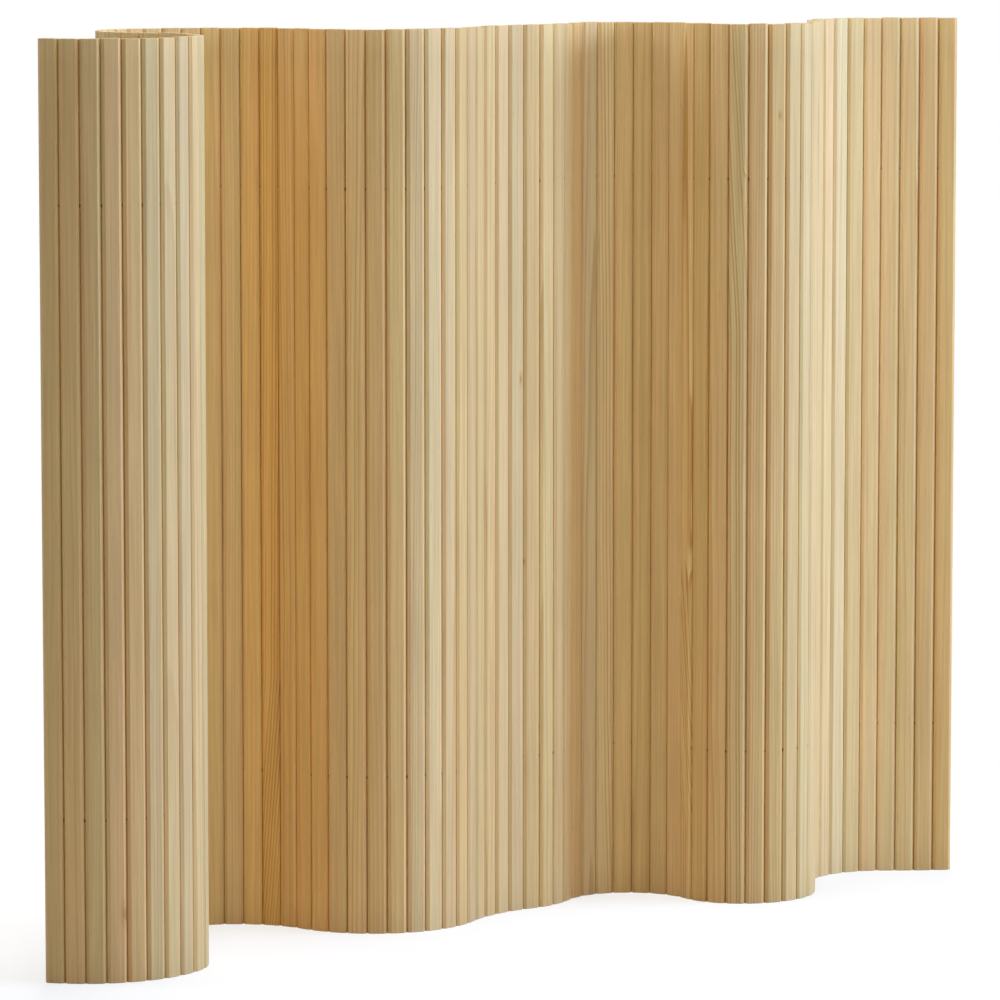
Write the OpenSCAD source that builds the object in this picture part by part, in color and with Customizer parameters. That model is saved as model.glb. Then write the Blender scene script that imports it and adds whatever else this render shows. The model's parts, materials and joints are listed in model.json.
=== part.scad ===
// Free-standing tambour screen: upright pine slats side by side, threaded on
// two steel cables, so that the screen bends at every joint between two slats.
// It stands in a curl at one end and in waves along the rest.
// Millimetres, +Z up. The origin is on the floor, in the middle of the
// rectangle that the slats stand in. +X runs along the screen, from the curl to
// its other end, and +Y towards its back.

/* [Slats] */
// Height of the screen
screen_h = 1500; // [900:10:1800]
// Width of a slat, from ridge to ridge
slat_w = 32.8; // [30:0.2:40]
// Thickness of a slat
slat_t = 14; // [12:0.5:18]
// Radius of the rounded corners of a slat
corner_r = 6; // [3:0.5:6]
// Slope of the bevelled edges: two neighbours can lean together by twice this
bevel = 15; // [12:1:20]
// Gap between the ridges of two neighbours
slat_gap = 0.2; // [0.1:0.1:0.6]

/* [Cables] */
// Diameter of the two cables
cable_d = 2; // [1.5:0.5:3]
// Diameter of the holes that they run through
hole_d = 4.5; // [4:0.5:5]
// Distance of each cable from the nearer end of the slats
cable_inset = 262; // [100:1:400]

/* [End stops] */
// Diameter of the ferrule crimped on each end of a cable
stop_d = 6.5; // [6:0.5:7]
// Length of a ferrule
stop_l = 9; // [6:1:12]
// Depth of a ferrule's outer face below the edge of its slat
stop_recess = 2; // [1:0.5:4]

/* [Standing shape] */
// How far the screen is folded: 1 as it stands, and less opens it out
fold = 1; // [0.2:0.05:1]

/* [Hidden] */
$fn = 48;

// The screen seen from above, joint by joint from the end of the curl: how many
// joints in a row bend alike, and each one's bend in degrees, + to the left
turns = [
    [8, 10],  // face of the curl
    [6, 17],  // curl turns back
    [5, -17], // and round again behind it
    [4, -15],
    [3, -3],
    [5, -11], // first hollow
    [10, 11], // first wave
    [5, -7],
    [3, 12],
    [8, -16], // second hollow
    [3, 18],  // second wave
    [7, 15],
    [1, -10], // turn out to the free end
    [7, -13],
    [3, 3]
];
first_heading = -15;

// Slats from the end of the curl: how many nodes in a row hold how many slats.
// Slats in the shallow stretches share a node in twos
node_runs = [[4, 2], [15, 1], [14, 2], [17, 1], [5, 2], [1, 1]];

pitch = slat_w + slat_gap;
bends = [for (turn = turns) for (k = [1 : turn[0]]) fold * turn[1]];
slat_count = len(bends) + 1;
last_slat = slat_count - 1;

// Direction of each slat, and the joint points that the slats lie between
headings = [
    for (i = 0, h = first_heading; i < slat_count; h = h + bend_after(i), i = i + 1) h
];
joints = [
    for (i = 0, p = [0, 0]; i <= slat_count; p = p + step_of(i), i = i + 1) p
];
function bend_after(i) = i < last_slat ? bends[i] : 0;
function step_of(i) = i < slat_count ? pitch * direction(headings[i]) : [0, 0];
function direction(a) = [cos(a), sin(a)];

// Section of a slat: centres of its rounded corners, and where their arcs meet
// the bevels. A bevel runs from the ridge, at half the thickness, to an arc
corner_y = slat_t / 2 - corner_r;
corner_x = slat_w / 2 - (corner_r + corner_y * sin(bevel)) / cos(bevel);
meet_x = corner_x + corner_r * cos(bevel);
meet_y = corner_y + corner_r * sin(bevel);

// A point of slat i, seen from above: along the slat's width and towards its back
function spot(i, along, across) =
    (joints[i] + joints[i + 1]) / 2
    + along * direction(headings[i])
    + across * direction(headings[i] + 90);

// Rectangle that the slats stand in, from their corners and ridges
corner_spots = [
    for (i = [0 : last_slat], s = [-1, 1], t = [-1, 1])
        spot(i, s * corner_x, t * corner_y)
];
ridge_spots = [for (i = [0 : last_slat], s = [-1, 1]) spot(i, s * slat_w / 2, 0)];
function low(k) = min([for (p = corner_spots) p[k] - corner_r, for (p = ridge_spots) p[k]]);
function high(k) = max([for (p = corner_spots) p[k] + corner_r, for (p = ridge_spots) p[k]]);
middle = [low(0) + high(0), low(1) + high(1)] / 2;

cable_heights = [cable_inset, screen_h - cable_inset];
stop_hole_d = stop_d + 1;
stop_seat = stop_recess + stop_l;
stop_bore_d = cable_d + 0.2;

// First slat of each node that holds slats, and how many it holds
node_sizes = [for (run = node_runs) for (k = [1 : run[0]]) run[1]];
node_firsts = [
    for (k = 0, first = 0; k < len(node_sizes); first = first + node_sizes[k], k = k + 1)
        first
];
slat_nodes = [for (k = [0 : len(node_sizes) - 1]) k];

function two_digits(n) = n < 10 ? str("0", n) : str(n);
function slat_node_name(k) =
    node_sizes[k] == 1
        ? str("slat_", two_digits(node_firsts[k] + 1))
        : str("slats_", two_digits(node_firsts[k] + 1), "_",
              two_digits(node_firsts[k] + node_sizes[k]));

// Puts a slat's own frame in its place: X along its width, Z up
module at_slat(i) {
    translate([for (k = [0, 1]) spot(i, 0, 0)[k] - middle[k]])
        rotate([0, 0, headings[i]])
            children();
}

module slat_section() {
    for (s = [-1, 1], t = [-1, 1])
        translate([s * corner_x, t * corner_y])
            circle(r = corner_r);
    polygon([
        [slat_w / 2, 0],
        [meet_x, meet_y],
        [corner_x, slat_t / 2],
        [-corner_x, slat_t / 2],
        [-meet_x, meet_y],
        [-slat_w / 2, 0],
        [-meet_x, -meet_y],
        [-corner_x, -slat_t / 2],
        [corner_x, -slat_t / 2],
        [meet_x, -meet_y]
    ]);
}

// A round bar across a slat at both cables, from one distance to another
module across_slat(d, from, to) {
    for (z = cable_heights)
        translate([from, 0, z])
            rotate([0, 90, 0])
                cylinder(d = d, h = to - from);
}

// A slat with its two cable holes. The end slats have a wider hole outside,
// where the ferrules sit
module slat(i) {
    outer = slat_w / 2 + 1;
    seat = slat_w / 2 - stop_seat;
    at_slat(i)
        difference() {
            linear_extrude(screen_h)
                slat_section();
            across_slat(hole_d, -outer, outer);
            if (i == 0)
                across_slat(stop_hole_d, -outer, -seat);
            if (i == last_slat)
                across_slat(stop_hole_d, seat, outer);
        }
}

// The slats of one node. Neighbouring nodes have slightly different browns
module slats(k) {
    tone = 0.03 * (k % 3);
    color([0.84 - tone, 0.71 - tone, 0.50 - tone])
        for (i = [0 : node_sizes[k] - 1])
            slat(node_firsts[k] + i);
}

// The points that a cable passes: the outer faces of its ferrules at its ends,
// and between them every joint point
cable_end = slat_w / 2 - stop_recess;
cable_points = [
    spot(0, -cable_end, 0),
    for (i = [1 : last_slat]) joints[i],
    spot(last_slat, cable_end, 0)
];
cable_turns = [for (i = [0 : last_slat + 1])
    i == 0 || i > last_slat ? 0 : bends[i - 1]
];
cable_sides = 8;

// One ring of a cable round point i, square to the middle of the bend there
function ring(i, z) =
    let (
        across = direction((i > last_slat ? headings[last_slat] : headings[i])
                           - cable_turns[i] / 2 + 90),
        stretch = 1 / cos(cable_turns[i] / 2),
        p = cable_points[i] - middle
    )
    [for (k = [0 : cable_sides - 1])
        let (a = 360 * k / cable_sides,
             out = cable_d / 2 * cos(a) * stretch)
        [p[0] + out * across[0], p[1] + out * across[1], z + cable_d / 2 * sin(a)]
    ];

module cable(z) {
    rings = len(cable_points);
    n = cable_sides;
    color([0.62, 0.63, 0.65])
        polyhedron(
            points = [for (i = [0 : rings - 1]) each ring(i, z)],
            faces = [
                [for (k = [0 : n - 1]) n - 1 - k],
                for (i = [0 : rings - 2], k = [0 : n - 1])
                    each [
                        [i * n + k, i * n + (k + 1) % n, (i + 1) * n + k],
                        [i * n + (k + 1) % n, (i + 1) * n + (k + 1) % n, (i + 1) * n + k]
                    ],
                [for (k = [0 : n - 1]) (rings - 1) * n + k]
            ]
        );
}

// The ferrules on one end of both cables, each seated in its slat's wider hole
module stops(i, side) {
    from = slat_w / 2 - stop_seat;
    color([0.72, 0.72, 0.74])
        at_slat(i)
            rotate([0, 0, side < 0 ? 180 : 0])
                difference() {
                    across_slat(stop_d, from, from + stop_l);
                    across_slat(stop_bore_d, from - 1, from + stop_l + 1);
                }
}

for (k = slat_nodes)
    slats(k);
cable(cable_heights[0]);  // cable_bottom
cable(cable_heights[1]);  // cable_top
stops(0, -1);  // stops_curl_end
stops(last_slat, 1);  // stops_free_end
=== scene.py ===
"""A tambour screen: upright pine slats side by side, threaded on two steel cables.

Metres, +Z up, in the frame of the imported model. Each slat is modelled in its own
frame, with X along its width, Y through its thickness and Z up, and is then put
where the frame's solid of that slat stands.
"""

import json
import math
import random

import bpy
import numpy as np
from mathutils import Matrix, Vector

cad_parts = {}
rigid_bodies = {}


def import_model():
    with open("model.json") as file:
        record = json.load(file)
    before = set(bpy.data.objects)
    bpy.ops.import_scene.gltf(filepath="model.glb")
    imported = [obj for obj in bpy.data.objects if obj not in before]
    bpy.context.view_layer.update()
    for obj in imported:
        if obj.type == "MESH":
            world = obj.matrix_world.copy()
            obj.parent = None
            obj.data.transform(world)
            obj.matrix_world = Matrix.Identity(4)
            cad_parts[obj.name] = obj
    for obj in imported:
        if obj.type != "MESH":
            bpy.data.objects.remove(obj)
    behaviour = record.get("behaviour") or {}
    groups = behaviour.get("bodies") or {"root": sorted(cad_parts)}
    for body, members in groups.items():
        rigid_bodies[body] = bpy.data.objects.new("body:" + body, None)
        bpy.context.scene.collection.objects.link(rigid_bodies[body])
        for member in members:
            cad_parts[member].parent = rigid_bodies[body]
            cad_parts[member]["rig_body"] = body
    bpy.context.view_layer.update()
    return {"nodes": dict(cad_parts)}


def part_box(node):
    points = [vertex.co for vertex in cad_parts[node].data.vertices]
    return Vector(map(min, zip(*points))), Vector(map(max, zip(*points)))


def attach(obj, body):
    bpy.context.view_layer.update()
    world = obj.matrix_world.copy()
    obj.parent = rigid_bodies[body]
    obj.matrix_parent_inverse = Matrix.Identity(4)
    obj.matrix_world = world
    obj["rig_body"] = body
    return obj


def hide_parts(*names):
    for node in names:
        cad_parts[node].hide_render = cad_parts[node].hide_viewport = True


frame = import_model()

MM = 0.001

# Slats. Their width, thickness and height are measured on the frame's solids
CORNER_R = 6 * MM
CORNER_TURNS = (90, 84, 78, 27, 21, 15)  # a planed facet, from 78 to 27 degrees
BEVEL = math.radians(15)
EASED_R = 0.9 * MM  # rounding of a slat's two ends
MOST_SHORTER = 1.4 * MM  # how much shorter a slat can be than its solid
MOST_THINNER = 0.25 * MM
FLAT_STEPS = 4
EASE_STEPS = 4
ROW_COUNT = 30
FLAT_MARGIN = 0.4 * MM  # keeps the flat faces flat beside the rounded corners
SHARP_ANGLE = math.radians(20)

# Cables and their ends
CABLE_HEIGHTS = (262 * MM, 1238 * MM)
CABLE_R = 1 * MM
CABLE_SIDES = 12
DOME_TURNS = (25, 60)  # degrees from a cable's axis to the rings of its domed ends
HOLE_R = 2.25 * MM
HOLE_SIDES = 24
SEAT_R = 3.75 * MM
SEAT_DEPTH = 11 * MM
SLAT_GAP = 0.2 * MM
STOP_RECESS = 2 * MM
STOP_LENGTH = 9 * MM
STOP_R = 3.25 * MM
STOP_BORE_R = 1.1 * MM
STOP_CHAMFER = 0.5 * MM
STOP_BORE_CHAMFER = 0.3 * MM
STOP_SIDES = 36
CRIMP_FROM = 2.0 * MM
CRIMP_TO = 7.0 * MM
CRIMP_SLOPE = 0.7 * MM
CRIMP_R = 2.95 * MM  # from the axis to each of the six flats
WEB = 0.15 * MM  # wood left at a ridge across a cable hole, which keeps light out
RIDGE_REACH = 0.09 * MM  # how far each ridge reaches into the gap, nearly closing it

# Camera
CAMERA_PLACE = (-84.154 * MM, -9859.432 * MM, 1826 * MM)
CAMERA_YAW = math.radians(-0.28208)
CAMERA_TILT = math.radians(6.43)
FOCAL_PIXELS = 5960
IMAGE_PIXELS = 1000
SENSOR_WIDTH = 36

draw = random.Random(79)


# ---------------------------------------------------------------- places

def far_ends(points):
    """The two ridges at the ends of a slat, or of a pair, seen from above: the points
    that lie furthest apart."""
    first = points[np.linalg.norm(points - points.mean(axis=0), axis=1).argmax()]
    second = points[np.linalg.norm(points - first, axis=1).argmax()]
    return first, second


class Place:
    """Where one slat of the frame stands, seen from above."""

    def __init__(self, number, node, points):
        self.number = number
        self.node = node
        self.body = frame["nodes"][node]["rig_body"]
        self.points = points
        first, second = far_ends(points)
        self.centre = (first + second) / 2
        self.way = (second - first) / np.linalg.norm(second - first)

    def spot(self, along):
        """A point of the slat's middle plane, from its distance along the width."""
        return self.centre + along * self.way

    def matrix(self):
        turn = math.atan2(self.way[1], self.way[0])
        return Matrix.Translation((*self.centre, 0)) @ Matrix.Rotation(turn, 4, "Z")


def slat_numbers(node):
    return [int(word) for word in node.split("_")[1:]]


def slat_places():
    """Every slat of the frame in its order, from the end of the curl."""
    nodes = [name for name in frame["nodes"] if name.startswith("slat")]
    nodes.sort(key=lambda name: slat_numbers(name)[0])
    clouds = [
        np.array([v.co[:2] for v in frame["nodes"][name].data.vertices]) for name in nodes
    ]
    places = []
    for k, (node, cloud) in enumerate(zip(nodes, clouds)):
        numbers = slat_numbers(node)
        if len(numbers) == 1:
            places.append(Place(numbers[0], node, cloud))
            continue
        first, second = far_ends(cloud)
        if np.linalg.norm(first - clouds[k + 1].mean(axis=0)) < np.linalg.norm(
            second - clouds[k + 1].mean(axis=0)
        ):
            first, second = second, first
        later = (cloud - (first + second) / 2) @ (second - first) > 0
        places.append(Place(numbers[0], node, cloud[~later]))
        places.append(Place(numbers[1], node, cloud[later]))
    for k, place in enumerate(places):
        onward = (
            places[min(k + 1, len(places) - 1)].centre - places[max(k - 1, 0)].centre
        )
        if place.way @ onward < 0:
            place.way = -place.way
    return places


places = slat_places()
measured = places[10]  # a slat with a node of its own
SLAT_W = float(np.ptp(measured.points @ measured.way))
SLAT_T = float(np.ptp(measured.points @ (-measured.way[1], measured.way[0])))
SLAT_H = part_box(places[0].node)[1].z


# ---------------------------------------------------------------- meshes

def new_object(name, mesh):
    obj = bpy.data.objects.new(name, mesh)
    bpy.context.scene.collection.objects.link(obj)
    return obj


def half_section():
    """One side of a slat's section, from its left ridge to its right one, as points
    (x, y) with y from 0 at a ridge to half the thickness."""
    corner_y = SLAT_T / 2 - CORNER_R
    corner_x = SLAT_W / 2 - (CORNER_R + corner_y * math.sin(BEVEL)) / math.cos(BEVEL)
    right = []
    for turn in CORNER_TURNS:
        a = math.radians(turn)
        right.append(
            (corner_x + CORNER_R * math.cos(a), corner_y + CORNER_R * math.sin(a))
        )
    right.append((SLAT_W / 2, 0))
    flat_end = corner_x - FLAT_MARGIN
    flat = [
        (flat_end * (2 * k / FLAT_STEPS - 1), SLAT_T / 2) for k in range(FLAT_STEPS + 1)
    ]
    left = [(-x, y) for x, y in reversed(right)]
    return left + flat + right


def section_rows():
    """Heights of the rings of a slat, and how far each is drawn in at its ends."""
    ends = []
    for k in range(EASE_STEPS + 1):
        a = math.pi / 2 * k / EASE_STEPS
        ends.append((EASED_R * (1 - math.sin(a)), EASED_R * (1 - math.cos(a))))
    bottom = [(z, inset) for inset, z in ends]
    step = (SLAT_H - 2 * EASED_R) / ROW_COUNT
    middle = [(EASED_R + step * k, 0) for k in range(1, ROW_COUNT)]
    top = [(SLAT_H - z, inset) for z, inset in reversed(bottom)]
    return bottom + middle + top


def slat_shell():
    """A whole slat without its holes: rings of the section, closed by strips."""
    half = half_section()
    count = len(half)
    outline = [(x, -y) for x, y in half] + [(x, y) for x, y in reversed(half[1:-1])]
    ring = len(outline)
    points = []
    for z, inset in section_rows():
        for x, y in outline:
            shrink_x = 1 - inset / (SLAT_W / 2)
            shrink_y = 1 - inset / (SLAT_T / 2)
            points.append((x * shrink_x, y * shrink_y, z))
    faces = []
    rows = len(points) // ring
    for row in range(rows - 1):
        for k in range(ring):
            n = (k + 1) % ring
            a = row * ring
            faces.append((a + k, a + n, a + ring + n, a + ring + k))
    for row, flip in ((0, True), (rows - 1, False)):
        a = row * ring
        for k in range(count - 1):
            back, next_back = a + (ring - k) % ring, a + ring - k - 1
            face = (a + k, a + k + 1, next_back, back)
            face = tuple(dict.fromkeys(face))
            faces.append(tuple(reversed(face)) if flip else face)
    mesh = bpy.data.meshes.new("slat")
    mesh.from_pydata(points, [], faces)
    mesh.validate()
    return mesh


def bar_across(radius, start, end, z, sides):
    """Points and faces of a round bar along X, closed at both ends."""
    ring = [
        (radius * math.cos(2 * math.pi * (k + 0.5) / sides),
         radius * math.sin(2 * math.pi * (k + 0.5) / sides))
        for k in range(sides)
    ]
    points = [(x, y, z + dz) for x in (start, end) for y, dz in ring]
    faces = [
        (k, (k + 1) % sides, sides + (k + 1) % sides, sides + k) for k in range(sides)
    ]
    faces.append(tuple(reversed(range(sides))))
    faces.append(tuple(range(sides, 2 * sides)))
    return points, faces


def drill(mesh, bars):
    """Cuts round bars, each (radius, start, end, height), out of a mesh."""
    target = new_object("target", mesh)
    for radius, start, end, z in bars:
        cutter_mesh = bpy.data.meshes.new("cutter")
        points, faces = bar_across(radius, start, end, z, HOLE_SIDES)
        cutter_mesh.from_pydata(points, [], faces)
        cutter = new_object("cutter", cutter_mesh)
        cut = target.modifiers.new("cut", "BOOLEAN")
        cut.operation = "DIFFERENCE"
        cut.solver = "EXACT"
        cut.object = cutter
        bpy.context.view_layer.update()
        graph = bpy.context.evaluated_depsgraph_get()
        result = bpy.data.meshes.new_from_object(target.evaluated_get(graph))
        target.modifiers.remove(cut)
        target.data = result
        bpy.data.objects.remove(cutter)
    drilled = target.data
    bpy.data.objects.remove(target)
    return drilled


def drilled_slat(side):
    """A slat with its cable holes. side is -1 or 1 for the first and last slats,
    which have a wider hole on that side for the ferrules, and 0 for the others."""
    reach = SLAT_W / 2 + 1 * MM
    bored = SLAT_W / 2 - WEB
    bars = [(HOLE_R, -bored, bored, z) for z in CABLE_HEIGHTS]
    if side:
        inner = SLAT_W / 2 - SEAT_DEPTH
        ends = sorted((side * inner, side * reach))
        bars += [(SEAT_R, *ends, z) for z in CABLE_HEIGHTS]
    mesh = drill(slat_shell(), bars)
    mesh.shade_smooth()
    mesh.set_sharp_from_angle(angle=SHARP_ANGLE)
    unwrap(mesh)
    return mesh


WALLS = 0.90  # share of the map's width that the slat's two sides take
SIDE_STRIP = 0.92  # where the strip for its ends and holes starts
STRIP_WIDTH = 0.07
END_MAP = 0.05  # where the map of the lower end starts in the strip
END_MAP_STEP = 0.15  # and how much further up the upper end's is
HOLE_MAP = 0.45  # the same for the middle of the lower and upper holes' maps
HOLE_MAP_STEP = 0.25
MAP_HEIGHT = 0.1


def unwrap(mesh):
    """Unrolls a slat: round it from left to right, and up it from bottom to top. Its
    ends and holes lie in a strip beside that."""
    half = np.array(half_section())
    steps = np.linalg.norm(np.diff(half, axis=0), axis=1)
    along = np.concatenate(([0], np.cumsum(steps))) / steps.sum()
    layer = mesh.uv_layers.new(name="OFBake")
    for face in mesh.polygons:
        corners = [mesh.vertices[i].co for i in face.vertices]
        middle = face.center
        level = int(middle.z > SLAT_H / 2)
        hole_z = CABLE_HEIGHTS[level]
        bored = max(math.hypot(c.y, c.z - hole_z) for c in corners) < SEAT_R * 1.01
        turn = math.atan2(middle.y, middle.z - hole_z)
        for loop, c in zip(face.loop_indices, corners):
            strip = SIDE_STRIP + STRIP_WIDTH * (c.x / SLAT_W + 0.5)
            if abs(face.normal.z) > 0.9 and not bored:
                up = END_MAP + END_MAP_STEP * level
                spot = (strip, up + MAP_HEIGHT * (c.y / SLAT_T + 0.5))
            elif bored and (abs(face.normal.x) > 0.98 or on_bore(corners, hole_z)):
                a = math.atan2(c.y, c.z - hole_z) - turn
                a = (a + math.pi) % (2 * math.pi) - math.pi + turn
                up = HOLE_MAP + HOLE_MAP_STEP * level
                spot = (strip, up + MAP_HEIGHT * a / math.pi)
            else:
                u = np.interp(c.x, half[:, 0], along)
                u = u if middle.y < 0 else 1 + u
                spot = (WALLS * u / 2, c.z / SLAT_H)
            layer.data[loop].uv = spot


def on_bore(corners, hole_z):
    """Whether all these points lie on the wall of a bore."""
    reaches = [math.hypot(c.y, c.z - hole_z) for c in corners]
    return any(max(abs(r - bore) for r in reaches) < 0.02 * MM for bore in (HOLE_R, SEAT_R))


# ---------------------------------------------------------------- materials

class Shader:
    """The nodes of a material or a world, added and linked by calls."""

    def __init__(self, owner):
        owner.use_nodes = True
        self.tree = owner.node_tree

    def node(self, kind, **settings):
        made = self.tree.nodes.new("ShaderNode" + kind)
        for key, value in settings.items():
            setattr(made, key, value)
        return made

    def put(self, socket, value):
        """Links a socket to another node's output, or sets its value."""
        if isinstance(value, bpy.types.NodeSocket):
            self.tree.links.new(value, socket)
        else:
            socket.default_value = value

    def math(self, operation, *values):
        made = self.node("Math", operation=operation)
        for socket, value in zip(made.inputs, values):
            self.put(socket, value)
        return made.outputs[0]

    def vector(self, operation, *values):
        made = self.node("VectorMath", operation=operation)
        for socket, value in zip(made.inputs, values):
            self.put(socket, value)
        return made.outputs["Value" if operation == "LENGTH" else "Vector"]

    def attribute(self, name):
        return self.node("Attribute", attribute_name=name).outputs

    def length(self, a, b):
        squares = self.math("MULTIPLY_ADD", b, b, self.math("MULTIPLY", a, a))
        return self.math("SQRT", squares)

    def split(self, vector):
        made = self.node("SeparateXYZ")
        self.put(made.inputs[0], vector)
        return made.outputs

    def join(self, x, y, z):
        made = self.node("CombineXYZ")
        for socket, value in zip(made.inputs, (x, y, z)):
            self.put(socket, value)
        return made.outputs[0]

    def noise(self, place, w, detail=2):
        made = self.node("TexNoise", noise_dimensions="4D")
        self.put(made.inputs["Vector"], place)
        self.put(made.inputs["W"], w)
        made.inputs["Scale"].default_value = 1
        made.inputs["Detail"].default_value = detail
        return made.outputs

    def ramp(self, value, stops):
        """stops are pairs of a position and a colour or a grey level."""
        made = self.node("ValToRGB")
        points = made.color_ramp.elements
        while len(points) < len(stops):
            points.new(1)
        for point, (position, colour) in zip(points, stops):
            point.position = position
            if isinstance(colour, (int, float)):
                colour = (colour,) * 3
            point.color = (*colour, 1)
        self.put(made.inputs[0], value)
        return made.outputs[0]

    def mix(self, factor, a, b, blend="MIX"):
        made = self.node("Mix", data_type="RGBA", blend_type=blend)
        self.put(made.inputs["Factor"], factor)
        for socket, value in ((made.inputs[6], a), (made.inputs[7], b)):
            if isinstance(value, tuple):
                value = (*value, 1)
            self.put(socket, value)
        return made.outputs[2]

    def span(self, value, low, high, to_low=0.0, to_high=1.0, smooth=False):
        made = self.node("MapRange", clamp=True)
        if smooth:
            made.interpolation_type = "SMOOTHSTEP"
        for socket, number in zip(made.inputs, (value, low, high, to_low, to_high)):
            self.put(socket, number)
        return made.outputs[0]

    def bump(self, height, strength, distance):
        made = self.node("Bump")
        made.inputs["Strength"].default_value = strength
        made.inputs["Distance"].default_value = distance
        self.put(made.inputs["Height"], height)
        return made.outputs[0]

    def shader(self, kind, colour, strength=None):
        """A plain diffuse, emission or background shader."""
        made = self.node(kind)
        made.inputs["Color"].default_value = (*colour, 1)
        if strength is not None:
            made.inputs["Strength"].default_value = strength
        return made.outputs[0]

    def blend(self, factor, a, b):
        """One shader where the factor is 0, and the other where it is 1."""
        made = self.node("MixShader")
        for socket, value in zip(made.inputs, (factor, a, b)):
            self.put(socket, value)
        return made.outputs[0]

    def add(self, a, b):
        made = self.node("AddShader")
        self.put(made.inputs[0], a)
        self.put(made.inputs[1], b)
        return made.outputs[0]

    def seen(self):
        """1 for rays that show a thing itself, straight, in a gloss or through glass."""
        path = self.node("LightPath").outputs
        most = self.math("MAXIMUM", path["Is Camera Ray"], path["Is Glossy Ray"])
        return self.math("MAXIMUM", most, path["Is Transmission Ray"])


EARLYWOOD = (0.823, 0.698, 0.443)
LATEWOOD = (0.570, 0.385, 0.180)
ROSY = (0.835, 0.664, 0.430)
STRAW = (0.797, 0.706, 0.440)
PALE = (0.930, 0.830, 0.600)
KNOT = (0.330, 0.155, 0.060)
# Painted shade, dark brown, round the mouths of the cable holes
HOLE_SHADE = (0.120, 0.048, 0.014)
# End grain, darker than the faces, and darker still as painted shade on the tops and
# bottoms, which get strong light from above
END_GRAIN_SHADE = (0.300, 0.235, 0.150)
# Painted shade for the grooves between slats: the wood of the bevels is made browner
BEVEL_SHADE = (0.90, 0.76, 0.54)  # the wood of the bevels is browner: multiplied by this
TAPER = 0.006  # how much nearer each growth ring comes to the pith, per metre up


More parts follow.
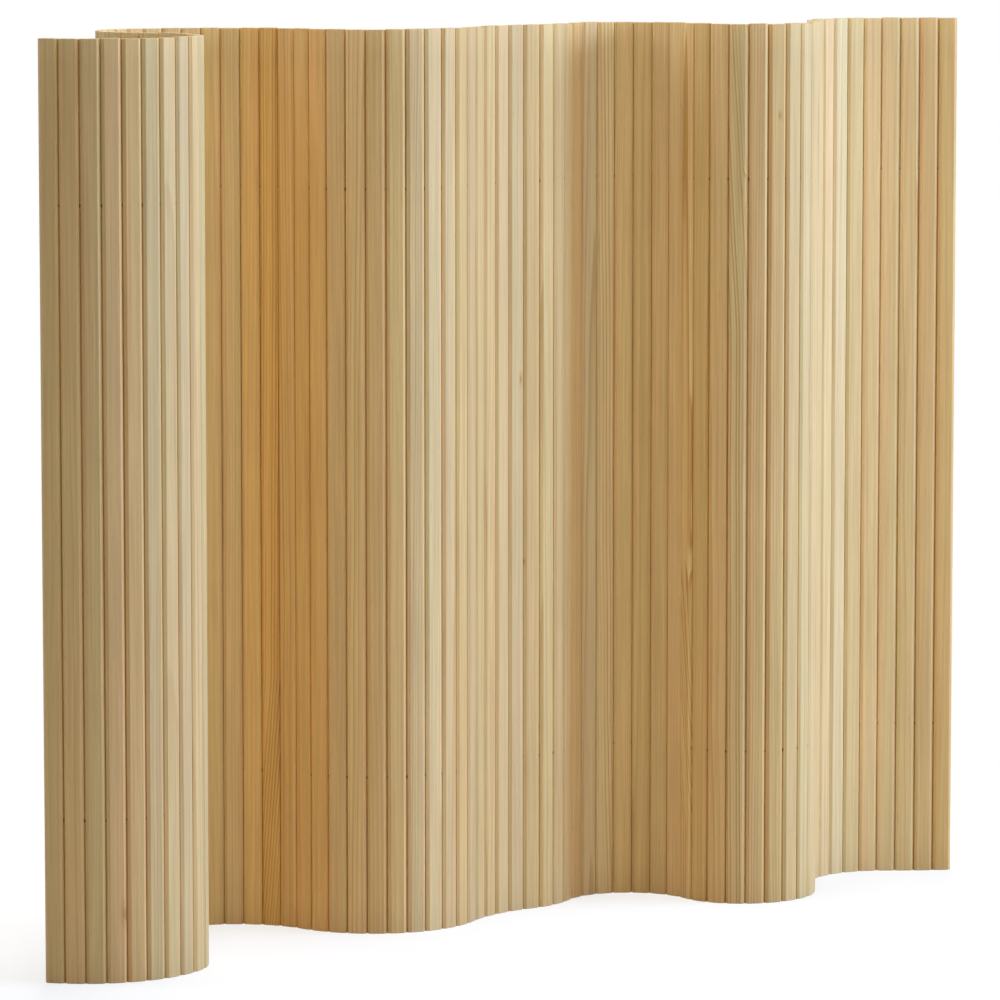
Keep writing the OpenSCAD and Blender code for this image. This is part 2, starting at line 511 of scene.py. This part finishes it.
def pine():
    """Planed pine. Its growth rings are round an axis beside the slat, so that they
    run up the faces as straight lines or arches and cross the ends as arcs."""
    material = bpy.data.materials.new("pine")
    m = Shader(material)
    place = m.attribute("own_place")["Vector"]
    seed = m.attribute("seed")["Fac"]
    tint = m.attribute("tint")["Vector"]
    pith_x, pith_y, ring_gap = m.split(m.attribute("pith")["Vector"])
    slope, slope_from, slope_to = m.split(m.attribute("slant")["Vector"])
    knot_x, knot_z, knot_half = m.split(m.attribute("knot")["Vector"])
    contrast, bend, _ = m.split(m.attribute("figure")["Vector"])
    stripe_x, stripe_half, stripe_amount = m.split(m.attribute("stripe")["Vector"])

    # A slow wander of the grain along the slat
    slow = m.vector("MULTIPLY", place, (9, 9, 1.6))
    wander = m.vector("SUBTRACT", m.noise(slow, seed)["Color"], (0.5, 0.5, 0.5))
    wander = m.vector("MULTIPLY", wander, (0.010, 0.010, 0))
    x, y, z = m.split(m.vector("ADD", place, wander))

    # Distance from the knot, which is longer up the slat than across it
    real_x, real_y, real_z = m.split(place)
    across = m.math("DIVIDE", m.math("SUBTRACT", real_x, knot_x), knot_half)
    up = m.math("DIVIDE", m.math("SUBTRACT", real_z, knot_z), knot_half)
    up = m.math("MULTIPLY", up, 0.32)
    from_knot = m.length(across, up)
    near_knot = m.span(from_knot, 0, 5, 1, 0, smooth=True)

    # Growth rings, slanted over part of the slat's height and pushed aside by the knot
    leaning = m.math("MINIMUM", m.math("MAXIMUM", z, slope_from), slope_to)
    axis_x = m.math("MULTIPLY_ADD", leaning, slope, pith_x)
    reach = m.length(m.math("SUBTRACT", x, axis_x), m.math("SUBTRACT", y, pith_y))
    reach = m.math("MULTIPLY_ADD", z, TAPER, reach)
    rings = m.math("DIVIDE", reach, ring_gap)
    rings = m.math("MULTIPLY_ADD", near_knot, bend, rings)
    late = m.ramp(
        m.math("FRACT", rings),
        ((0.0, 0.0), (0.45, 0.10), (0.75, 0.55), (0.88, 1.0), (0.95, 0.9), (1.0, 0.0)),
    )
    each = m.node("TexWhiteNoise", noise_dimensions="2D")
    m.put(each.inputs["Vector"], m.join(m.math("FLOOR", rings), seed, 0))
    weight = m.math("POWER", each.outputs["Value"], 1.6)
    late = m.math("MULTIPLY", late, m.span(weight, 0, 1, 0.12, 1.0))
    late = m.math("MULTIPLY", late, contrast)

    # Fibres: fine streaks up the slat, broader ones, and short dashes of resin
    fine = m.noise(m.vector("MULTIPLY", place, (1500, 1500, 14)), seed, detail=3)["Fac"]
    streak = m.noise(m.vector("MULTIPLY", place, (420, 420, 5)), seed, detail=2)["Fac"]
    broad = m.noise(m.vector("MULTIPLY", place, (170, 170, 3.2)), seed, detail=3)["Fac"]
    band = m.noise(m.vector("MULTIPLY", place, (62, 62, 1.1)), seed, detail=1)["Fac"]
    cloud = m.noise(m.vector("MULTIPLY", place, (14, 14, 5)), seed, detail=2)["Fac"]
    dash = m.noise(m.vector("MULTIPLY", place, (700, 700, 38)), seed, detail=1)["Fac"]

    body = m.mix(m.span(band, 0.36, 0.64), STRAW, ROSY)
    body = m.mix(0.20, body, EARLYWOOD)
    wood = m.mix(late, body, LATEWOOD)
    wood = m.mix(m.span(broad, 0.42, 0.72, 0, 0.30), wood, LATEWOOD)
    wood = m.mix(m.span(dash, 0.66, 0.76, 0, 0.35), wood, LATEWOOD)
    shade = m.span(fine, 0.25, 0.75, 0.945, 1.040)
    shade = m.math("MULTIPLY", shade, m.span(streak, 0.3, 0.7, 0.925, 1.050))
    shade = m.math("MULTIPLY", shade, m.span(cloud, 0.3, 0.7, 0.970, 1.025))
    wood = m.mix(1.0, wood, m.join(shade, shade, shade), blend="MULTIPLY")
    from_stripe = m.math("ABSOLUTE", m.math("SUBTRACT", x, stripe_x))
    from_stripe = m.math("DIVIDE", from_stripe, stripe_half)
    striped = m.math("MULTIPLY", m.span(from_stripe, 0.4, 1.2, 1, 0), stripe_amount)
    wood = m.mix(striped, wood, PALE)
    wood = m.mix(1.0, wood, tint, blend="MULTIPLY")

    # Bevels, painted browner as painted shade of the grooves between slats, and painted
    # shade round the mouths of the cable holes, where the holes lie dark. Both are dull
    out = m.math("ABSOLUTE", real_x)
    bevel = m.span(out, 15.2 * MM, 15.9 * MM, smooth=True)
    # Painted shade: the bevels turn browner, so the grooves between slats look darker
    wood = m.mix(bevel, wood, m.mix(1.0, wood, BEVEL_SHADE, blend="MULTIPLY"))
    mouth = 0
    for height in CABLE_HEIGHTS:
        off_axis = m.length(real_y, m.math("SUBTRACT", real_z, height))
        near = m.span(off_axis, 2.4 * MM, 4.4 * MM, 1, 0, smooth=True)
        mouth = m.math("MAXIMUM", mouth, near)
    mouth = m.math("MULTIPLY", mouth, m.span(out, 14.6 * MM, 15.3 * MM))
    # The side and the height tell a slat's four mouths apart
    hole = m.join(m.math("SIGN", real_x), m.math("ROUND", real_z), 0)
    mouth_shade_pick = m.node("TexWhiteNoise", noise_dimensions="4D")
    m.put(mouth_shade_pick.inputs["Vector"], hole)
    m.put(mouth_shade_pick.inputs["W"], seed)
    # How dark each mouth's painted shade is, drawn at random
    mouth_shade_depth = m.span(mouth_shade_pick.outputs["Value"], 0.68, 0.86, 0.10, 0.90)
    wood = m.mix(m.math("MULTIPLY", mouth, mouth_shade_depth), wood, HOLE_SHADE)
    inside_joint = m.math("MAXIMUM", bevel, mouth)

    # The knot: a brown heart in a paler halo
    heart = m.span(from_knot, 0.6, 1.15, 0.55, 0, smooth=True)
    wood = m.mix(heart, wood, KNOT)
    halo = m.span(from_knot, 1.0, 3.0, 0.40, 0, smooth=True)
    wood = m.mix(halo, wood, LATEWOOD)

    # End grain is darker and duller, and the tops and bottoms are painted darker still:
    # painted shade against the strong light from above
    normal_z = m.split(m.node("NewGeometry").outputs["Normal"])[2]
    end = m.span(m.math("ABSOLUTE", normal_z), 0.35, 0.85)
    wood = m.mix(m.math("MULTIPLY", end, 0.88), wood, END_GRAIN_SHADE)

    surface = m.tree.nodes["Principled BSDF"]
    m.put(surface.inputs["Base Color"], wood)
    rough = m.span(fine, 0.2, 0.8, 0.50, 0.60)
    m.put(surface.inputs["Roughness"], m.math("MULTIPLY_ADD", end, 0.2, rough))
    m.put(surface.inputs["Specular IOR Level"], m.span(inside_joint, 0, 1, 0.35, 0.03))
    relief = m.math("MULTIPLY_ADD", late, 0.6, fine)
    m.put(surface.inputs["Normal"], m.bump(relief, 0.35, 0.00006))
    return material


def steel_rope():
    """Dull, dark brown wire rope: strands wound round the cable. Its dark brown is painted
    shade, so that the cable shows dark deep in its holes.
    """
    material = bpy.data.materials.new("cable_steel")
    m = Shader(material)
    surface = m.tree.nodes["Principled BSDF"]
    place = m.split(m.attribute("rope")["Vector"])
    wound = m.math("MULTIPLY_ADD", place[0], 2 * math.pi / 0.010, place[1])
    strand = m.math("SINE", m.math("MULTIPLY", wound, 6))
    groove = m.span(strand, -1, -0.2)
    # Dark brown: painted shade for the cable where it lies in its holes
    steel = m.mix(groove, (0.045, 0.032, 0.020), (0.140, 0.105, 0.070))
    m.put(surface.inputs["Base Color"], steel)
    m.put(surface.inputs["Roughness"], m.span(groove, 0, 1, 0.80, 0.60))
    surface.inputs["Metallic"].default_value = 1
    surface.inputs["Specular Tint"].default_value = (0.25, 0.17, 0.10, 1)
    m.put(surface.inputs["Normal"], m.bump(groove, 0.6, 0.00012))
    return material


def pressed_aluminium():
    """The matt aluminium of a crimped ferrule, with faint drawing lines."""
    material = bpy.data.materials.new("ferrule_aluminium")
    m = Shader(material)
    surface = m.tree.nodes["Principled BSDF"]
    place = m.node("TexCoord").outputs["Object"]
    lines = m.noise(m.vector("MULTIPLY", place, (200, 200, 6000)), 3, detail=3)["Fac"]
    grey = m.mix(m.span(lines, 0.3, 0.7), (0.66, 0.66, 0.68), (0.78, 0.78, 0.80))
    m.put(surface.inputs["Base Color"], grey)
    m.put(surface.inputs["Roughness"], m.span(lines, 0.3, 0.7, 0.48, 0.34))
    surface.inputs["Metallic"].default_value = 1
    m.put(surface.inputs["Normal"], m.bump(lines, 0.2, 0.00003))
    return material


# ---------------------------------------------------------------- slats

# The usual grain of a slat is drawn at random. These stand out in the photo. A knot is
# given by its place across the slat, its height and its half width; one past the
# slat's edge only bends the rings, by a number of rings. A slant is sideways metres per
# metre up, between two heights. The gap lies between two rings, and the side is the
# way to the pith, in degrees. A stripe of pale wood runs up the slat: its place across,
# its half width and how pale it is. Places, heights and widths are in millimetres
FIGURED = {
    4: {"knot": (12.5, 111, 3.5), "bend": 1.6},
    28: {"contrast": 1.0, "gap": 5.0, "side": 5},
    30: {"slant": (0.080, 0, 420), "gap": 5.0, "contrast": 2.2, "side": 10},
    31: {
        "slant": (0.010, 0, 600), "gap": 6.0, "contrast": 1.2, "side": 185,
        "stripe": (12.5, 2.2, 0.45),
    },
    38: {"contrast": 1.0, "gap": 5.0, "side": 5},
    46: {"knot": (8, 905, 2.2), "bend": 1.4},
    47: {"knot": (-15.4, 595, 1.3), "bend": 0.6},
    53: {"slant": (-0.020, 0, 300), "gap": 6.0, "contrast": 1.2, "side": 170},
    58: {
        "slant": (-0.150, 120, 620), "gap": 5.5, "contrast": 1.9, "side": 10,
        "stripe": (12.5, 1.6, 0.35),
    },
    61: {
        "slant": (-0.047, 980, 1500), "gap": 5.0, "contrast": 2.0, "side": 175,
        "knot": (19, 1225, 3.0), "bend": -2.0, "stripe": (13.5, 2.0, 0.40),
    },
    62: {"contrast": 0.9, "gap": 5.0, "side": 5},
    63: {"knot": (3, 1345, 1.6), "bend": 1.2},
    79: {"stripe": (14.0, 1.5, 0.40)},
}
NO_KNOT = (-9000, 0, 2)
NO_STRIPE = (-9000, 2, 0)

# Stretches of slats painted warmer, cooler, lighter or darker, as painted light and shade
# where the light on that part of the screen differs, such as warmer bounce light in the
# hollows; and single slats whose own wood is warmer or lighter than the mean: the first and
# the last slat, how much warmer, and how many times as light
LIGHT_AND_TONE_STRETCHES = (
    (1, 5, -0.4, 1.02), (6, 11, -0.6, 0.98), (27, 28, 0.7, 1.0), (29, 33, 1.7, 1.01),
    (34, 36, 0.7, 0.99), (38, 50, -0.3, 1.0), (54, 60, 0.7, 1.0), (64, 67, -0.4, 0.98),
    (72, 77, -0.7, 1.025), (78, 79, 0.5, 0.95),
    (5, 5, 0.8, 0.92), (35, 35, -0.8, 1.10), (39, 39, -1.0, 1.12), (41, 44, 0.4, 0.93),
    (50, 51, 1.0, 0.96), (53, 53, -0.4, 1.08), (58, 58, 0.0, 1.08), (63, 63, 0.7, 0.92),
    (75, 76, 0.6, 1.10), (79, 79, 0.3, 0.94),
)


def tint_of(number):
    """What a slat's wood colour is multiplied by: its own tone, drawn at random, and the
    painted light and shade of its stretch.
    """
    warmth = draw.uniform(-0.35, 0.35)
    pink = draw.uniform(-1, 1)
    light = draw.uniform(0.955, 1.045)
    for first, last, warmer, lighter in LIGHT_AND_TONE_STRETCHES:
        if first <= number <= last:
            warmth += warmer
            light *= lighter
    return (
        light * (1 + 0.03 * warmth),
        light * (1 - 0.06 * warmth - 0.012 * pink),
        light * (1 - 0.19 * warmth + 0.020 * pink),
    )


def constant(mesh, name, value):
    """Gives every point of a mesh the same value, a number or a vector."""
    vector = hasattr(value, "__len__")
    kind, field = ("FLOAT_VECTOR", "vector") if vector else ("FLOAT", "value")
    attribute = mesh.attributes.new(name, kind, "POINT")
    count = len(mesh.vertices)
    attribute.data.foreach_set(field, np.tile(np.array(value, np.float32), count))


def grain_of(number):
    """Draws how a slat was cut from its log: the attributes that pine reads."""
    grain = {
        "side": draw.uniform(0, 360),
        "away": draw.uniform(35, 110),
        "gap": draw.uniform(3.4, 7.0),
        "contrast": draw.uniform(0.25, 0.85),
        "slant": (draw.uniform(-0.005, 0.005), 0, 1500),
        "knot": NO_KNOT,
        "stripe": NO_STRIPE,
        "bend": 0,
    }
    grain.update(FIGURED.get(number, {}))
    side = math.radians(grain["side"])
    slope, slope_from, slope_to = grain["slant"]
    return {
        "seed": draw.uniform(0, 200),
        "tint": tint_of(number),
        "pith": (
            grain["away"] * MM * math.cos(side),
            grain["away"] * MM * math.sin(side),
            grain["gap"] * MM,
        ),
        "slant": (slope, slope_from * MM, slope_to * MM),
        "knot": [value * MM for value in grain["knot"]],
        "stripe": (grain["stripe"][0] * MM, grain["stripe"][1] * MM, grain["stripe"][2]),
        "figure": (grain["contrast"], grain["bend"], 0),
    }


def shaped(mesh, side):
    """Varies a slat a little: shorter by up to a millimetre or so, and slimmer. Brings
    its ridges up to its neighbours'; side is the one that has none. Keeps each point's
    place in the slat's own frame for the material."""
    co = np.zeros(len(mesh.vertices) * 3, np.float32)
    mesh.vertices.foreach_get("co", co)
    co = co.reshape(-1, 3)
    shorter = draw.uniform(0, MOST_SHORTER)
    thinner = draw.uniform(0, MOST_THINNER)
    upper = co[:, 2] > SLAT_H - 2 * EASED_R
    co[upper, 2] -= shorter
    co[:, 1] *= 1 - thinner / SLAT_T
    for way in (-1, 1):
        if way != side:
            ridge = way * co[:, 0] > SLAT_W / 2 - 0.01 * MM
            co[ridge, 0] += way * RIDGE_REACH
    mesh.vertices.foreach_set("co", co.ravel())
    own = mesh.attributes.new("own_place", "FLOAT_VECTOR", "POINT")
    own.data.foreach_set("vector", co.ravel())


def make_slats(material):
    blanks = {side: drilled_slat(side) for side in (-1, 0, 1)}
    last = places[-1].number
    for place in places:
        side = {1: -1, last: 1}.get(place.number, 0)
        mesh = blanks[side].copy()
        mesh.name = f"pine_slat_{place.number:02d}"
        shaped(mesh, side)
        for name, value in grain_of(place.number).items():
            constant(mesh, name, value)
        mesh.materials.clear()
        mesh.materials.append(material)
        mesh.transform(place.matrix())
        slat = new_object(mesh.name, mesh)
        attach(slat, place.body)
        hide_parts(place.node)


# ---------------------------------------------------------------- cables

def joint_spot(k):
    """The point between slat k and the next, counted from 0, that the cables pass."""
    return places[k].spot((SLAT_W + SLAT_GAP) / 2)


def cable_route(first, last):
    """The points of a cable's run through slats first to last, counted from 0."""
    end = SLAT_W / 2 - STOP_RECESS
    start = places[first].spot(-end) if first == 0 else joint_spot(first - 1)
    stop = places[last].spot(end) if last == len(places) - 1 else joint_spot(last)
    return [start] + [joint_spot(k) for k in range(first, last)] + [stop]


def dome(p, way):
    """Middles and radii of the rings of a cable's domed end, from its tip inwards."""
    turns = [math.radians(turn) for turn in DOME_TURNS]
    return [(p + way * CABLE_R * math.cos(a), CABLE_R * math.sin(a)) for a in turns]


def rope_mesh(name, route):
    """The two cables along one route, with domed ends."""
    points, faces, lay = [], [], []
    route = [np.array(p) for p in route]
    for z in CABLE_HEIGHTS:
        rings = []
        run = 0
        for k, p in enumerate(route):
            before = p - route[k - 1] if k else route[1] - p
            after = route[k + 1] - p if k + 1 < len(route) else before
            before = before / np.linalg.norm(before)
            after = after / np.linalg.norm(after)
            way = (before + after) / np.linalg.norm(before + after)
            if k:
                run += np.linalg.norm(p - route[k - 1])
            stretch = 1 / max(way @ before, 0.9)
            if k == 0:
                rings += [(q, way, radius, 1, run) for q, radius in dome(p, -way)]
            rings.append((p, way, CABLE_R, stretch, run))
            if k == len(route) - 1:
                ends = reversed(dome(p, way))
                rings += [(q, way, radius, 1, run) for q, radius in ends]
        base = len(points)
        for p, way, radius, stretch, run in rings:
            across = np.array([-way[1], way[0]])
            for k in range(CABLE_SIDES):
                a = 2 * math.pi * k / CABLE_SIDES
                out = p + across * radius * stretch * math.cos(a)
                points.append((*out, z + radius * math.sin(a)))
                lay.append((run, a, 0))
        for row in range(len(rings) - 1):
            for k in range(CABLE_SIDES):
                n = (k + 1) % CABLE_SIDES
                low = base + row * CABLE_SIDES
                high = low + CABLE_SIDES
                faces.append((low + n, low + k, high + k, high + n))
        faces.append(tuple(range(base, base + CABLE_SIDES)))
        top = base + (len(rings) - 1) * CABLE_SIDES
        faces.append(tuple(reversed(range(top, top + CABLE_SIDES))))
    mesh = bpy.data.meshes.new(name)
    mesh.from_pydata(points, [], faces)
    mesh.shade_smooth()
    rope = mesh.attributes.new("rope", "FLOAT_VECTOR", "POINT")
    rope.data.foreach_set("vector", np.array(lay, np.float32).ravel())
    return mesh


def make_cables(material):
    """One run of both cables for each body of the frame, so that they bend with it."""
    runs = {}
    for k, place in enumerate(places):
        runs.setdefault(place.body, []).append(k)
    for body, slats in runs.items():
        name = f"cable_run_{places[slats[0]].number:02d}"
        mesh = rope_mesh(name, cable_route(slats[0], slats[-1]))
        mesh.materials.append(material)
        run = new_object(name, mesh)
        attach(run, body)
        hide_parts("cable_bottom", "cable_top")


def ferrule_mesh(name):
    """A crimped ferrule along X from 0: chamfered rims, and six flats in its middle."""
    sides = STOP_SIDES
    chamfer = STOP_CHAMFER
    mouth_r = STOP_BORE_R + STOP_BORE_CHAMFER
    profile = [
        (chamfer, STOP_BORE_R, False),
        (0, mouth_r, False),
        (0, STOP_R - chamfer, False),
        (chamfer, STOP_R, False),
        (CRIMP_FROM, STOP_R, False),
        (CRIMP_FROM + CRIMP_SLOPE, STOP_R, True),
        (CRIMP_TO - CRIMP_SLOPE, STOP_R, True),
        (CRIMP_TO, STOP_R, False),
        (STOP_LENGTH - chamfer, STOP_R, False),
        (STOP_LENGTH, STOP_R - chamfer, False),
        (STOP_LENGTH, mouth_r, False),
        (STOP_LENGTH - chamfer, STOP_BORE_R, False),
    ]
    points = []
    for x, radius, crimped in profile:
        for k in range(sides):
            a = 2 * math.pi * k / sides
            r = radius
            if crimped:
                fold = (a % (math.pi / 3)) - math.pi / 6
                r = min(radius, CRIMP_R / math.cos(fold))
            points.append((x, r * math.cos(a), r * math.sin(a)))
    faces = []
    rows = len(profile)
    for row in range(rows):
        for k in range(sides):
            n = (k + 1) % sides
            a, b = row * sides, (row + 1) % rows * sides
            faces.append((a + k, a + n, b + n, b + k))
    mesh = bpy.data.meshes.new(name)
    mesh.from_pydata(points, [], faces)
    mesh.shade_smooth()
    mesh.set_sharp_from_angle(angle=SHARP_ANGLE)
    return mesh


def make_ferrules(material):
    inner = SLAT_W / 2 - STOP_RECESS - STOP_LENGTH
    ends = (("curl_end", places[0], math.pi), ("free_end", places[-1], 0))
    for end, place, turn in ends:
        for level, z in zip(("bottom", "top"), CABLE_HEIGHTS):
            name = f"ferrule_{end}_{level}"
            mesh = ferrule_mesh(name)
            mesh.materials.append(material)
            mesh.transform(
                place.matrix()
                @ Matrix.Rotation(turn, 4, "Z")
                @ Matrix.Translation((inner, 0, z))
            )
            ferrule = new_object(name, mesh)
            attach(ferrule, place.body)
            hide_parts(f"stops_{end}")


# ---------------------------------------------------------------- surroundings

FLOOR_NEAR = 0.9  # the floor shows shadows up to this distance from the middle
FLOOR_FAR = 2.0  # and is plain white from here
FLOOR_SHADE = (0.36, 0.40, 0.50)  # what lamps add to the floor near the object
FLOOR_GLOW = 0.62  # and what it shows without them
FLOOR_BOUNCE = (0.50, 0.41, 0.28)  # the floor's colour for the light on the object


def make_floor():
    """A pale floor, with the object's soft shadow, that turns into the white of the
    world further out. What it throws back on the object is warmer."""
    half_x, near_y, far_y = 30, -12, 90
    mesh = bpy.data.meshes.new("floor")
    mesh.from_pydata(
        [(-half_x, near_y, 0), (half_x, near_y, 0), (half_x, far_y, 0), (-half_x, far_y, 0)],
        [],
        [(0, 1, 2, 3)],
    )
    material = bpy.data.materials.new("floor")
    m = Shader(material)
    m.tree.nodes.clear()
    away = m.vector("LENGTH", m.node("NewGeometry").outputs["Position"])
    far = m.span(away, FLOOR_NEAR, FLOOR_FAR, smooth=True)
    lit = m.shader("BsdfDiffuse", FLOOR_SHADE)
    near_white = m.add(lit, m.shader("Emission", (1, 1, 1), FLOOR_GLOW))
    shown = m.blend(far, near_white, m.shader("Emission", (1, 1, 1), 1.0))
    bounce = m.shader("BsdfDiffuse", FLOOR_BOUNCE)
    output = m.node("OutputMaterial")
    m.put(output.inputs[0], m.blend(m.seen(), bounce, shown))
    mesh.materials.append(material)
    floor = new_object("floor", mesh)


def make_world():
    world = bpy.data.worlds.new("studio")
    bpy.context.scene.world = world
    m = Shader(world)
    m.tree.nodes.clear()
    dim = m.shader("Background", (1.0, 0.93, 0.82), 0.02)
    white = m.shader("Background", (1, 1, 1), 1.0)
    output = m.node("OutputWorld")
    m.put(output.inputs[0], m.blend(m.seen(), dim, white))


def softbox(name, azimuth, elevation, distance, size, power, colour):
    """A square lamp that faces the screen. azimuth is to the right of the camera."""
    a, e = math.radians(azimuth), math.radians(elevation)
    aim = Vector((0, 0, SLAT_H / 2))
    away = Vector((math.sin(a) * math.cos(e), -math.cos(a) * math.cos(e), math.sin(e)))
    lamp = bpy.data.lights.new(name, "AREA")
    lamp.shape = "SQUARE"
    lamp.size = size
    lamp.energy = power
    lamp.color = colour
    obj = bpy.data.objects.new(name, lamp)
    obj.location = aim + away * distance
    obj.rotation_euler = away.to_track_quat("Z", "Y").to_euler()
    bpy.context.scene.collection.objects.link(obj)


COOL_WHITE = (0.92, 0.99, 1.07)
WARM_WHITE = (1.0, 0.82, 0.58)
CREAM_WHITE = (1.0, 0.88, 0.70)
SOFT_WHITE = (1.0, 0.95, 0.88)


def make_lamps():
    softbox("key", 90, 15, 6, 2.5, 207, COOL_WHITE)
    softbox("front_right", 60, 15, 6, 2.5, 36, COOL_WHITE)
    softbox("top", 0, 89, 5, 2, 220, CREAM_WHITE)
    softbox("back", 180, 60, 5, 2, 120, CREAM_WHITE)
    softbox("front", 0, 35, 12, 4, 225, WARM_WHITE)
    softbox("left", -90, 35, 6, 2.5, 72, SOFT_WHITE)


def make_camera():
    data = bpy.data.cameras.new("camera")
    data.sensor_width = SENSOR_WIDTH
    data.lens = SENSOR_WIDTH * FOCAL_PIXELS / IMAGE_PIXELS
    data.clip_end = 200
    camera = bpy.data.objects.new("camera", data)
    camera.location = CAMERA_PLACE
    camera.rotation_euler = (math.pi / 2 - CAMERA_TILT, 0, CAMERA_YAW)
    bpy.context.scene.collection.objects.link(camera)
    bpy.context.scene.camera = camera


make_camera()
make_slats(pine())
make_cables(steel_rope())
make_ferrules(pressed_aluminium())
make_floor()
make_world()
make_lamps()
bpy.context.scene.view_settings.view_transform = "Standard"
